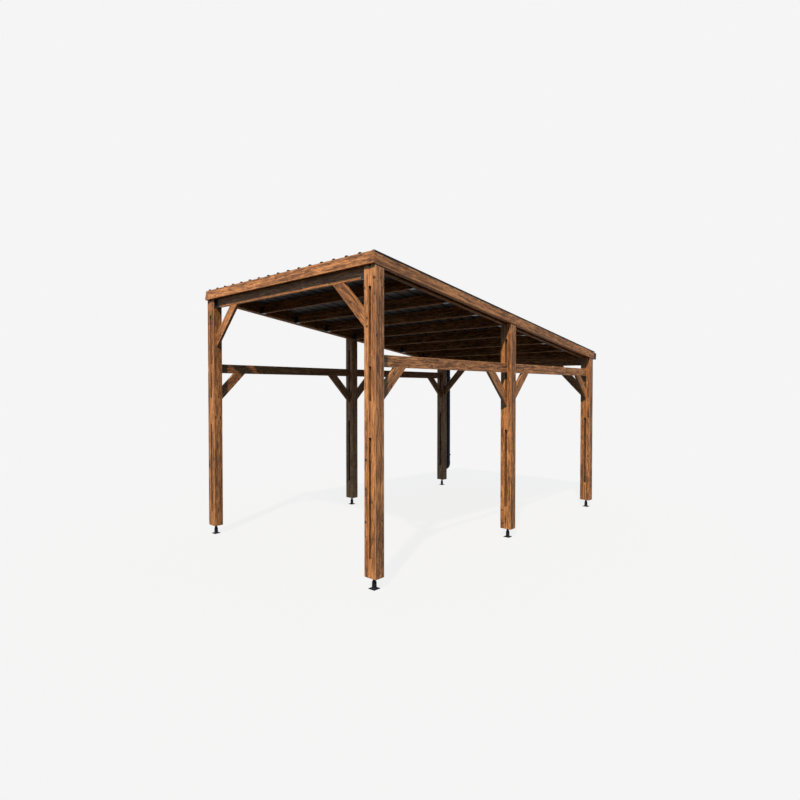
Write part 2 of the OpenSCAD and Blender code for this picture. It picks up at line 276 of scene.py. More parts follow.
def wood_grain():
    """Group for stained softwood, drawn in each board's own coordinates."""
    found = bpy.data.node_groups.get("Wood grain")
    if found:
        return found
    tree, g, given, out = new_group(
        "Wood grain", Grain="Vector", Board="Vector", End="Float", Tone="Float", Light="Color", Middle="Color",
        Dark="Color", Streaks="Float", Knots="Float",
    )
    _, across, through = g.split(given["Grain"])
    half_width, half_thick, seed = g.split(given["Board"])
    shift = g.vector("MULTIPLY", g.join(seed, seed, seed), (9.1, 3.7, 6.3))
    place = g.vector("ADD", given["Grain"], shift)

    # Knots: long spots that the grain flows round, and small pin knots
    core, halo, aside = knot_field(g, place, (2.9, 8.0, 2.0), given["Knots"], 0.05, 0.105)
    pins, _, _ = knot_field(g, place, (11.0, 17.0, 8.0), g.times(given["Knots"], 1.5), 0.1, 0.22)
    flow = g.times(g.times(aside, halo), -0.08)

    # Wandering grain
    stray, bend = (0.9, 5.0, 5.0), 0.034
    wander_a = g.swing(g.noise(place, stray, 2.0), bend)
    wander_b = g.swing(g.noise(g.vector("ADD", place, (4.7, 1.3, 2.9)), stray, 2.0), bend)
    bent = g.vector("ADD", place, g.join(0.0, g.total(wander_a, flow), wander_b))

    # Growth rings round a pith outside or inside the board
    ring_pace = 930.0
    pith_a = g.swing(g.chance(g.times(seed, 811.0)), 0.12)
    pith_b = g.total(0.02, g.times(g.chance(g.times(seed, 467.0)), 0.08))
    from_a = g.minus(g.total(across, wander_a, flow), pith_a)
    from_b = g.minus(g.total(through, wander_b), pith_b)
    radius = g.math("SQRT", g.total(g.times(from_a, from_a), g.times(from_b, from_b)))
    rings = g.total(0.5, g.times(0.5, g.math("SINE", g.times(radius, ring_pace))))

    # Streaks, blotches, fibres and broad tone
    broad = g.noise(bent, (2.6, 26.0, 26.0), 4.0, 0.6)
    blotch = g.noise(bent, (7.0, 60.0, 60.0), 4.0, 0.62)
    fine = g.noise(bent, (16.0, 160.0, 160.0), 3.0)
    fibre = g.noise(bent, (12.0, 700.0, 700.0), 2.0)
    tone = g.noise(place, (1.1, 4.0, 4.0), 2.0)
    own = g.chance(g.times(seed, 1000.0))
    patches = g.times(g.total(g.swing(broad, 1.5), g.swing(blotch, 2.6)), given["Streaks"])
    lines = [g.swing(fine, 1.0), g.swing(fibre, 0.3), g.swing(rings, 0.24)]
    value = g.total(0.54, patches, *lines, g.swing(tone, 0.75), g.swing(own, 0.1), given["Tone"])
    wood = g.mix(g.step(value, 0.15, 0.55), given["Dark"], given["Middle"])
    wood = g.mix(g.step(value, 0.54, 0.92), wood, given["Light"])

    # Deep stain in long streaks, knots and drying cracks
    deep = g.step(g.noise(g.vector("ADD", bent, (1.9, 0.7, 0.4)), (4.5, 52.0, 52.0), 4.0), 0.605, 0.715)
    wood = g.mix(g.times(deep, given["Streaks"]), wood, given["Dark"])
    wood = g.mix(g.times(halo, 0.5), wood, given["Dark"])
    wood = g.mix(g.times(g.math("MAXIMUM", core, pins), 0.9), wood, KNOT_CORE)
    thread = g.math("ABSOLUTE", g.swing(g.noise(bent, (0.7, 20.0, 20.0), 1.0), 1.0))
    dried = g.step(g.noise(place, (1.4, 6.0, 6.0), 1.0), 0.54, 0.62)
    crack = g.times(g.rest(g.step(thread, 0.002, 0.008)), dried)
    wood = g.mix(g.times(crack, 0.85), wood, CRACK)

    # Sawn ends drink more stain
    cut_end = g.mix(0.55, wood, g.mix(g.step(rings, 0.3, 0.8), given["Middle"], given["Dark"]))
    wood = g.mix(given["End"], wood, g.mix(0.35, cut_end, given["Dark"]))

    # Lighter arrises: rubbed wear, and a painted highlight along the edges
    gap_b = g.minus(half_width, g.math("ABSOLUTE", across))
    gap_c = g.minus(half_thick, g.math("ABSOLUTE", through))
    edge = g.total(g.math("MAXIMUM", gap_b, gap_c), g.swing(broad, 0.02))
    wood = g.mix(g.times(g.rest(g.step(edge, 0.001, 0.009)), 0.6), wood, given["Light"])

    dents = g.minus(0.0, g.total(crack, g.times(core, 0.4)))
    relief = [g.swing(fibre, 0.5), g.swing(fine, 0.7), g.swing(rings, 0.25), g.swing(blotch, 1.1)]
    g.put(out["Colour"], wood)
    g.put(out["Roughness"], g.total(0.7, g.swing(fine, -0.25), g.times(core, -0.12)))
    g.put(out["Height"], g.total(dents, *relief))
    return tree


def weathered_coat():
    """Group for coated steel: mottled coat, dust on upper faces, runs down the fall and a fine texture."""
    found = bpy.data.node_groups.get("Weathered coat")
    if found:
        return found
    tree, g, given, out = new_group(
        "Weathered coat", Place="Vector", Facing="Vector", Coat="Color", Dust="Color", Dusty="Float", Runs="Float",
        Rough="Float",
    )
    mottle = g.noise(given["Place"], (7.0, 7.0, 7.0), 4.0)
    grit = g.noise(given["Place"], (420.0, 420.0, 420.0), 2.0)
    runs = g.noise(given["Place"], (26.0, 0.9, 2.0), 4.0, 0.6)
    up = g.step(g.split(given["Facing"])[2], 0.25, 0.95)
    patches = g.step(g.total(g.swing(mottle, 1.0), g.swing(runs, 1.0), 0.5), 0.38, 0.75)
    dirt = g.times(g.times(up, given["Dusty"]), patches)
    stain = g.times(g.step(runs, 0.52, 0.7), given["Runs"])
    coat = g.mix(g.times(mottle, 0.5), given["Coat"], (0.0, 0.0, 0.0))
    coat = g.mix(1.0, coat, (1.33, 1.33, 1.33), "MULTIPLY")
    coat = g.mix(g.times(stain, 0.25), coat, given["Dust"])
    g.put(out["Colour"], g.mix(dirt, coat, given["Dust"]))
    g.put(out["Roughness"], g.total(given["Rough"], g.swing(mottle, 0.22), g.times(dirt, 0.3)))
    g.put(out["Height"], g.total(g.swing(grit, 0.6), g.swing(mottle, 0.5), g.times(dirt, 0.2)))
    return tree


def material_graph(name):
    """New node material, its graph and its shader."""
    made = bpy.data.materials.new(name)
    made.use_nodes = True
    return made, Graph(made.node_tree), made.node_tree.nodes["Principled BSDF"]


def place_group(g, shader, group, depth, amount, **inputs):
    """Puts a group in a material and joins its outputs to the shader."""
    made = g.node("Group", {"node_tree": group}, **inputs)
    g.put(shader.inputs["Base Color"], made.outputs["Colour"])
    g.put(shader.inputs["Roughness"], made.outputs["Roughness"])
    relief = g.node("Bump", Strength=amount, Distance=depth, Height=made.outputs["Height"])
    g.put(shader.inputs["Normal"], relief.outputs[0])


def stained_timber(name, gloss):
    """Stained softwood, oiled or as it came from the saw."""
    found = bpy.data.materials.get(name)
    if found:
        return found
    timber = bpy.context.scene.carport_timber
    made, g, shader = material_graph(name)
    shader.inputs["Specular IOR Level"].default_value = gloss
    titles = ("grain", "board", "end_grain", "tone")
    read = {title: g.node("Attribute", {"attribute_name": title}).outputs for title in titles}
    place_group(
        g, shader, wood_grain(), depth=0.0016, amount=0.7,
        Grain=read["grain"]["Vector"], Board=read["board"]["Vector"],
        End=read["end_grain"]["Fac"], Tone=read["tone"]["Fac"],
        Light=(*timber.light, 1), Middle=(*timber.middle, 1), Dark=(*timber.dark, 1),
        Streaks=timber.streaks, Knots=timber.knots,
    )
    return made


def coated_steel(name, coat, metal, rough, dusty, runs, specular=0.4):
    """Coated steel or sheet with its own dirt."""
    found = bpy.data.materials.get(name)
    if found:
        return found
    made, g, shader = material_graph(name)
    shader.inputs["Metallic"].default_value = metal
    shader.inputs["Specular IOR Level"].default_value = specular
    place_group(
        g, shader, weathered_coat(), depth=0.0006, amount=0.35,
        Place=g.node("TexCoord").outputs["Object"], Facing=g.node("NewGeometry").outputs["Normal"],
        Coat=(*coat, 1), Dust=(*bpy.context.scene.carport_roof.dust, 1), Dusty=dusty, Runs=runs, Rough=rough,
    )
    return made


def node_verts(node):
    """Vertices of a CAD node."""
    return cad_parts[node].data.vertices


def loose_solids(node):
    """Each solid of a CAD node as its own mesh, welded and with its flat faces joined."""
    whole = bmesh.new()
    whole.from_mesh(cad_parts[node].data)
    bmesh.ops.remove_doubles(whole, verts=whole.verts[:], dist=1e-5)
    seen, solids = set(), []
    for start in whole.verts:
        if start in seen:
            continue
        island, front = set(), {start}
        while front:
            island |= front
            front = {edge.other_vert(vert) for vert in front for edge in vert.link_edges} - island
        seen |= island
        solid = bmesh.new()
        copies = {vert: solid.verts.new(vert.co) for vert in whole.verts if vert in island}
        for face in whole.faces:
            if face.verts[0] in island:
                solid.faces.new([copies[vert] for vert in face.verts])
        bmesh.ops.recalc_face_normals(solid, faces=solid.faces[:])
        solid.normal_update()
        bmesh.ops.dissolve_limit(
            solid, angle_limit=math.radians(0.4), verts=solid.verts[:], edges=solid.edges[:]
        )
        solids.append(solid)
    whole.free()
    return solids


def round_edges(solid, edges, radius):
    """Rounds some edges of a mesh."""
    bmesh.ops.bevel(solid, geom=edges, offset=radius, segments=2, profile=0.5, affect="EDGES", clamp_overlap=True)


def signed(axis):
    """The axis, turned so that its largest part is positive."""
    return axis if max(axis, key=abs) > 0 else -axis


class Board:
    """A board with its grain, width and thickness axes, its middle and its half sizes."""

    def __init__(self, solid, name):
        self.solid = solid
        self.seed = zlib.crc32(name.encode()) % 1000 / 1000
        longest = max(solid.edges, key=lambda e: round(e.calc_length(), 4))
        along = signed((longest.verts[1].co - longest.verts[0].co).normalized())
        flanks = [f for f in solid.faces if abs(f.normal.dot(along)) < 0.05]
        thick = signed(max(flanks, key=lambda f: round(f.calc_area(), 5)).normal.copy())
        self.axes = (along, thick.cross(along), thick)
        reach = [[v.co.dot(axis) for v in solid.verts] for axis in self.axes]
        self.middle = [(min(r) + max(r)) / 2 for r in reach]
        self.half = [(max(r) - min(r)) / 2 for r in reach]

    def local(self, point):
        """A point along the board's own axes, from its middle."""
        return tuple(point.dot(axis) - m for axis, m in zip(self.axes, self.middle))

    def weather(self, arris, chip):
        """Rounds every arris, then wears the long ones unevenly."""
        solid, first, spacing, last = self.solid, (0.03, 0.08), (0.045, 0.12), 0.03
        round_edges(solid, solid.edges[:], arris)
        pace = random.Random(self.seed)
        at = pace.uniform(*first) - self.half[0]
        while at < self.half[0] - last:
            cut = bmesh.ops.bisect_plane(
                solid, geom=solid.verts[:] + solid.edges[:] + solid.faces[:], dist=1e-6,
                plane_co=self.axes[0] * (at + self.middle[0]), plane_no=self.axes[0],
            )
            for vert in cut["geom_cut"]:
                if isinstance(vert, bmesh.types.BMVert):
                    self.wear(vert, at, arris, chip)
            at += pace.uniform(*spacing)
        solid.normal_update()

    def wear(self, vert, at, arris, chip):
        """Moves a point of a long arris along its faces, so that the rounding widens and narrows."""
        _, b, c = self.local(vert.co)
        gap_b, gap_c = self.half[1] - abs(b), self.half[2] - abs(c)
        if max(gap_b, gap_c) > 2.2 * arris + chip:
            return
        corner = Vector((at * 2.3, math.copysign(3.1, b) + self.seed * 90, math.copysign(7.7, c)))
        width = arris * (0.75 + 0.7 * noise.noise(corner)) + chip * max(0.0, noise.noise(corner * 2.9) - 0.45) * 2
        flat, crest = 0.12 * arris, 0.29 * width
        new_b = width if gap_c < flat else 0.0 if gap_b < flat else crest
        new_c = width if gap_b < flat else 0.0 if gap_c < flat else crest
        vert.co += self.axes[1] * (math.copysign(self.half[1] - new_b, b) - b)
        vert.co += self.axes[2] * (math.copysign(self.half[2] - new_c, c) - c)


def finish_piece(obj, slot, *nodes):
    """A finished piece rides on the frame and stands for its CAD nodes."""
    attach(obj, "root")
    if nodes:
        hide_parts(*nodes)
    return obj


def new_object(name, points, faces, material, smooth=None):
    """Mesh object from points and faces, in the row frame."""
    mesh = bpy.data.meshes.new(name)
    mesh.from_pydata([tuple(p) for p in points], [], faces)
    if smooth:
        mesh.polygons.foreach_set("use_smooth", smooth)
    mesh.materials.append(material)
    obj = bpy.data.objects.new(name, mesh)
    bpy.context.scene.collection.objects.link(obj)
    return obj


def faces_twin(node, face):
    """True for the face that a plank of a post turns to its twin, which little light reaches and which gets painted
    shade.
    """
    if not node.startswith("post_"):
        return False
    low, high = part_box(node)
    inward = (low.x + high.x) / 2 - face.calc_center_median().x
    return abs(face.normal.x) > 0.6 and face.normal.x * inward > 0


def timber_piece(name, slot, *nodes, sawn=False):
    """Boards of one or more CAD nodes as one weathered piece that keeps each board's grain."""
    timber = bpy.context.scene.carport_timber
    finish = stained_timber("Sawn timber", timber.sawn) if sawn else stained_timber("Oiled timber", timber.oiled)
    points, faces, grain, sizes, tones, ends = [], [], [], [], [], []
    for node in nodes:
        for i, solid in enumerate(loose_solids(node)):
            board = Board(solid, f"{node}.{i}")
            board.weather(timber.arris, timber.chip)
            first = len(points)
            solid.verts.index_update()
            for vert in solid.verts:
                points.append(vert.co.copy())
                grain.extend(board.local(vert.co))
                sizes.extend((board.half[1], board.half[2], board.seed))
            for face in solid.faces:
                faces.append([first + v.index for v in face.verts])
                ends.append(1.0 if abs(face.normal.dot(board.axes[0])) > 0.6 else 0.0)
                # Faces inside a post's slot get painted shade
                painted_shade = SLOT_SHADES.get(node, SLOT_SHADE) if faces_twin(node, face) else 0.0
                # Board tone, painted shade on the right beam, plus the painted shade inside a post's slot
                tones.append(BOARD_TONES_AND_SHADE.get(node, 0.0) + painted_shade)
            solid.free()
    obj = new_object(name, points, faces, finish)
    for title, kind, domain, key, values in (
        ("grain", "FLOAT_VECTOR", "POINT", "vector", grain),
        ("board", "FLOAT_VECTOR", "POINT", "vector", sizes),
        ("tone", "FLOAT", "FACE", "value", tones),
        ("end_grain", "FLOAT", "FACE", "value", ends),
    ):
        obj.data.attributes.new(title, kind, domain).data.foreach_set(key, values)
    return finish_piece(obj, slot, *nodes)


class Metalwork:
    """Turned, folded and pressed shapes that become one piece."""

    def __init__(self):
        self.points, self.faces, self.smooth, self.coats = [], [], [], []

    def add(self, points, faces, smooth=False, place=Matrix(), coats=None):
        """Faces over points, put in place; a mirrored place turns the faces round."""
        first, way = len(self.points), -1 if place.is_negative else 1
        self.points.extend(place @ Vector(p) for p in points)
        self.faces.extend([first + i for i in face][::way] for face in faces)
        self.smooth.extend([smooth] * len(faces))
        self.coats.extend(coats or [0] * len(faces))

    def skin(self, rings, smooth=True, place=Matrix()):
        """Faces between rings of points, where a ring of one point closes an end."""
        sides = max(len(ring) for ring in rings)
        points, loops, faces = [], [], []
        for ring in rings:
            loops.append([len(points) + k % len(ring) for k in range(sides)])
            points += ring
        for low, high in zip(loops, loops[1:]):
            for k in range(sides):
                j = (k + 1) % sides
                corner = [low[k], low[j], high[j], high[k]]
                faces.append([v for i, v in enumerate(corner) if v not in corner[:i]])
        self.add(points, faces, smooth, place)

    def turn(self, profile, sides, place, smooth=True, spin=0.0):
        """Turned solid from (radius, height) points, closed where it meets its axis."""
        turns = [spin + 2 * math.pi * k / sides for k in range(sides)]
        self.skin(
            [[(r * math.cos(a), r * math.sin(a), z) for a in (turns if r else turns[:1])] for r, z in profile],
            smooth, place,
        )

    def copy(self, node, radius):
        """Solids of a CAD node with their sharp edges eased."""
        for solid in loose_solids(node):
            sharp = [e for e in solid.edges if e.calc_face_angle(0.0) > math.radians(30)]
            round_edges(solid, sharp, radius)
            solid.verts.index_update()
            self.add([v.co.copy() for v in solid.verts], [[v.index for v in f.verts] for f in solid.faces])
            solid.free()

    def build(self, name, *materials):
        obj = new_object(name, self.points, self.faces, materials[0], self.smooth)
        for more in materials[1:]:
            obj.data.materials.append(more)
        obj.data.polygons.foreach_set("material_index", self.coats)
        return obj


def seat(point, out):
    """Placement at a point of a surface, with Z pointing out of it."""
    return Matrix.Translation(point) @ Vector(out).to_track_quat("Z", "Y").to_matrix().to_4x4()


def screw_head(work, point, out):
    """Countersunk wood screw head with a round recess."""
    r = bpy.context.scene.carport_steel.screw_d / 2
    shape = ((1.12, -0.0004), (1, 0.0005), (0.8, 0.0007), (0.45, 0.0006), (0.36, -0.0006), (0, -0.0008))
    work.turn([(r * part, z) for part, z in shape], 12, seat(point, out))


def nail_head(work, point, out):
    """Domed head of a hanger nail."""
    r = bpy.context.scene.carport_steel.nail_d / 2
    work.turn([(r, 0.0), (r, 0.0008), (r * 0.7, 0.0016), (0, 0.0019)], 8, seat(point, out))


class Axes:
    """Frame of x, a way u square to it and n square to both, with n counted from a base."""

    def __init__(self, u, n, base=0.0):
        self.u, self.n, self.base = Vector(u), Vector(n), base

    def point(self, x, u, n):
        return Vector((x, 0, 0)) + self.u * u + self.n * (n + self.base)

    def read(self, point):
        return point.x, point.dot(self.u), point.dot(self.n) - self.base

    def reach(self, verts):
        """Lowest and highest x, u and n of some vertices."""
        read = list(zip(*(self.read(v.co) for v in verts)))
        return Vector([min(r) for r in read]), Vector([max(r) for r in read])


LEVEL = Axes((0, 1, 0), (0, 0, 1))


def roof_fall():
    """Axes of the roof: u down the fall, n square to it, level with the underside of the beams at n = 0."""
    beam = Board(loose_solids("beam_right")[0], "beam_right")
    n = Vector((1, 0, 0)).cross(beam.axes[0])
    return Axes(beam.axes[0], n, min(v.co.dot(n) for v in beam.solid.verts))


class CARPORT_OT_posts(bpy.types.Operator):
    """Twin-plank posts with their spacer blocks"""

    bl_idname = "carport.posts"
    bl_label = "Posts"

    def execute(self, context):
        for row, side in POSTS:
            timber_piece(f"timber_post_{row}_{side}", "timber", f"post_{row}_{side}", f"blocks_{row}_{side}")
        return {"FINISHED"}


class CARPORT_OT_rails(bpy.types.Operator):
    """Side rails and the braces that carry them"""

    bl_idname = "carport.rails"
    bl_label = "Rails and braces"

    def execute(self, context):
        for side in SIDES:
            timber_piece(f"timber_rail_{side}", "timber", f"rail_{side}")
            for bay in ENDS:
                timber_piece(f"timber_braces_{bay}_{side}", "timber", f"braces_{bay}_bay_{side}")
        return {"FINISHED"}


class CARPORT_OT_headers(bpy.types.Operator):
    """Front and rear headers and their braces"""

    bl_idname = "carport.headers"
    bl_label = "Headers"

    def execute(self, context):
        for end in ENDS:
            timber_piece(f"timber_header_{end}", "timber", f"header_{end}")
            timber_piece(f"timber_header_braces_{end}", "timber", f"header_braces_{end}")
        return {"FINISHED"}


class CARPORT_OT_roof_frame(bpy.types.Operator):
    """Side beams, purlins and the fascia boards round the roof"""

    bl_idname = "carport.roof_frame"
    bl_label = "Roof frame"

    def execute(self, context):
        for side in SIDES:
            timber_piece(f"timber_beam_{side}", "timber", f"beam_{side}", sawn=True)
        timber_piece("timber_purlins", "timber", "purlins", sawn=True)
        for edge in (*SIDES, *ENDS):
            timber_piece(f"timber_fascia_{edge}", "fascia_timber", f"fascia_{edge}")
        return {"FINISHED"}


class CARPORT_OT_feet(bpy.types.Operator):
    """Screw feet: drilled plate, flared sleeve, nut, threaded rod and head plate"""

    bl_idname = "carport.feet"
    bl_label = "Feet"

    def execute(self, context):
        steel = context.scene.carport_steel
        coat = coated_steel("Black foot steel", steel.foot, 0.0, 0.5, dusty=0.01, runs=0.05, specular=0.08)
        for row, side in POSTS:
            node = f"foot_{row}_{side}"
            low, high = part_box(node)
            work, place = Metalwork(), Matrix.Translation(((low.x + high.x) / 2, (low.y + high.y) / 2, 0))
            self.plate(work, place)
            self.sleeve(work, place)
            self.nut(work, place, radius=0.0165)
            self.rod(work, place, high.z - PLATE_T, steel.thread)
            self.head(work, place, high.z - PLATE_T, high.z, half=0.032)
            finish_piece(work.build(f"steel_{node}", coat), "foot_steel", node)
        return {"FINISHED"}

    def plate(self, work, place):
        """Square plate with four bored and eased anchor holes: one quarter and its mirror images."""
        half, ease = 0.040, 0.0009
        sides, bore, at = 24, 0.0045, 0.028
        outer, inner, tip = [], [], []
        for inset, z, radius in ((0.0, 0.0, bore), (0.0, PLATE_T - ease, bore), (ease, PLATE_T, bore + ease * 0.6)):
            edge, rim, hole = half - inset, [], []
            for k in range(sides):
                a = 2 * math.pi * (k + 0.5) / sides
                dx, dy = math.cos(a), math.sin(a)
                room = min((edge - at if d > 0 else at) / abs(d) for d in (dx, dy))
                rim.append((at + room * dx, at + room * dy, z))
                hole.append((at + radius * dx, at + radius * dy, z))
            outer.append(rim)
            inner.append(hole)
            tip += [rim[sides // 8 - 1], (edge, edge, z), rim[sides // 8]]
        tip_faces = [[2, 1, 0], [6, 7, 8], [0, 1, 4, 3], [1, 2, 5, 4], [3, 4, 7, 6], [4, 5, 8, 7]]
        for sx in (1, -1):
            for sy in (1, -1):
                quarter = place @ Matrix.Diagonal((sx, sy, 1, 1))
                work.skin([*outer, *reversed(inner), outer[0]], False, quarter)
                work.add(tip, tip_faces, False, quarter)

    def sleeve(self, work, place):
        """Sleeve with a flared foot and a drawn-in shoulder."""
        flare = [(0.030, PLATE_T), (0.0295, 0.0068), (0.0278, 0.0086), (0.0254, 0.0112), (0.0236, 0.0145)]
        shoulder = [(0.0222, 0.060), (0.0213, 0.066), (0.0186, 0.0725), (0.0160, 0.0775), (0.0150, SLEEVE_TOP)]
        work.turn([*flare, (0.0228, 0.018), *shoulder, (ROD_R, SLEEVE_TOP)], 40, place)

    def nut(self, work, place, radius):
        """Hexagon nut with chamfered corners."""
        chamfer, flat = 0.0022, radius * 0.87
        shape = [(ROD_R, SLEEVE_TOP), (flat, SLEEVE_TOP), (radius, SLEEVE_TOP + chamfer), (radius, NUT_TOP - chamfer)]
        work.turn([*shape, (flat, NUT_TOP), (ROD_R, NUT_TOP)], 6, place, smooth=False, spin=0.3)

    def rod(self, work, place, top, pitch):
        """Threaded rod between the nut and the head plate."""
        root, turns, thread = 0.0108, 6, []
        for k in range(turns):
            z = NUT_TOP + (top - NUT_TOP) * k / turns
            thread += [(root, z), (ROD_R, min(z + pitch * 0.35, top))]
        work.turn([*thread, (root, top)], 28, place)

    def head(self, work, place, low, high, half):
        """Square head plate under the post."""
        r, ease = half * math.sqrt(2), 0.001
        shape = [(0, low), (r - ease, low), (r, low + ease), (r, high), (0, high)]
        work.turn(shape, 4, place, smooth=False, spin=math.pi / 4)


class CARPORT_OT_hangers(bpy.types.Operator):
    """Joist hangers with their nails"""

    bl_idname = "carport.hangers"
    bl_label = "Hangers"

    def execute(self, context):
        steel, fall = context.scene.carport_steel, roof_fall()
        coat = coated_steel("Slate hanger steel", steel.hanger, 0.0, 0.34, dusty=0.05, runs=0.15, specular=0.3)
        purlin_hangers = [(f"purlin_hangers_{side}", fall) for side in SIDES]
        header_hangers = [(f"header_hangers_{end}", LEVEL) for end in ENDS]
        for node, axes in purlin_hangers + header_hangers:
            work = Metalwork()
            work.copy(node, radius=0.0005)
            for solid in loose_solids(node):
                self.nails(work, axes, *axes.reach(solid.verts))
            finish_piece(work.build(f"steel_{node}", coat), "hanger_steel", node)
        return {"FINISHED"}

    def nails(self, work, axes, low, high):
        """Nails through the two cheeks and the two flanges of a hanger."""
        sign = 1 if low[0] > 0 else -1
        wall = (high if sign > 0 else low)[0]
        middle, tall, steel_t = (low[1] + high[1]) / 2, high[2] - low[2], 0.002
        for way in (-1, 1):
            cheek, flange = middle + way * 0.020, middle + way * 0.035
            for back, up in ((0.016, 0.25), (0.016, 0.62), (0.040, 0.3)):
                nail_head(work, axes.point(wall - sign * back, cheek, low[2] + up * tall), axes.u * way)
            for up in (0.18, 0.5, 0.82):
                nail_head(work, axes.point(wall - sign * steel_t, flange, low[2] + up * tall), (-sign, 0, 0))


class CARPORT_OT_screws(bpy.types.Operator):
    """Wood screws through the planks, fascias and braces"""

    bl_idname = "carport.screws"
    bl_label = "Wood screws"

    def execute(self, context):
        coat = coated_steel("Dark screw steel", context.scene.carport_steel.screw, 0.8, 0.45, dusty=0.0, runs=0.0)
        work = Metalwork()
        for row, side in POSTS:
            self.post_screws(work, row, side)
        self.fascia_screws(work, roof_fall())
        self.brace_screws(work)
        finish_piece(work.build("timber_screws", coat), "bracket_steel")
        return {"FINISHED"}

    def post_screws(self, work, row, side):
        """Pairs of screws into the rail and the spacer blocks, from both faces of a post."""
        low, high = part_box(f"post_{row}_{side}")
        rail_low, rail_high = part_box(f"rail_{side}")
        middle, rail = (low.y + high.y) / 2, (rail_low.z + rail_high.z) / 2
        spots = [(middle - 0.028, rail + 0.026), (middle + 0.028, rail - 0.026)]
        for solid in loose_solids(f"blocks_{row}_{side}"):
            bottom, top = LEVEL.reach(solid.verts)
            for up in (0.22, 0.78):
                z = bottom.z + up * (top.z - bottom.z)
                spots += [(middle - 0.03, z), (middle + 0.03, z)]
        for y, z in spots:
            screw_head(work, (high.x, y, z), (1, 0, 0))
            screw_head(work, (low.x, y, z), (-1, 0, 0))

    def fascia_screws(self, work, fall):
        """Pairs of screws through the side fascias at the posts, and along the end fascias."""
        for side, sign in SIDES.items():
            low, high = fall.reach(node_verts(f"fascia_{side}"))
            face = (high if sign > 0 else low)[0]
            for row in ROWS:
                box_low, box_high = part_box(f"post_{row}_{side}")
                u = fall.read(Vector((0, (box_low.y + box_high.y) / 2, box_high.z)))[1]
                for du, up in ((-0.03, 0.03), (0.03, 0.085)):
                    screw_head(work, fall.point(face, u + du, low[2] + up), (sign, 0, 0))
        for end, way in ENDS.items():
            low, high = fall.reach(node_verts(f"fascia_{end}"))
            face = (high if way > 0 else low)[1]
            for x in (low[0] + 0.12, low[0] + 0.9, 0.0, high[0] - 0.9, high[0] - 0.12):
                for up in (0.03, 0.086):
                    screw_head(work, fall.point(x, face, low[2] + up), fall.u * way)

    def brace_screws(self, work):
        """Screws through the foot and the head of each header brace."""
        for end, way in ENDS.items():
            for solid in loose_solids(f"header_braces_{end}"):
                low, high = LEVEL.reach(solid.verts)
                sign, foot, head = (1, high.x, low.x) if low.x > 0 else (-1, low.x, high.x)
                face = (high if way > 0 else low).y
                for dx, dz in ((0.035, 0.09), (0.07, 0.14)):
                    screw_head(work, (foot - sign * dx, face, low.z + dz), (0, way, 0))
                for dx, dz in ((0.075, 0.04), (0.125, 0.05)):
                    screw_head(work, (head + sign * dx, face, high.z - dz), (0, way, 0))


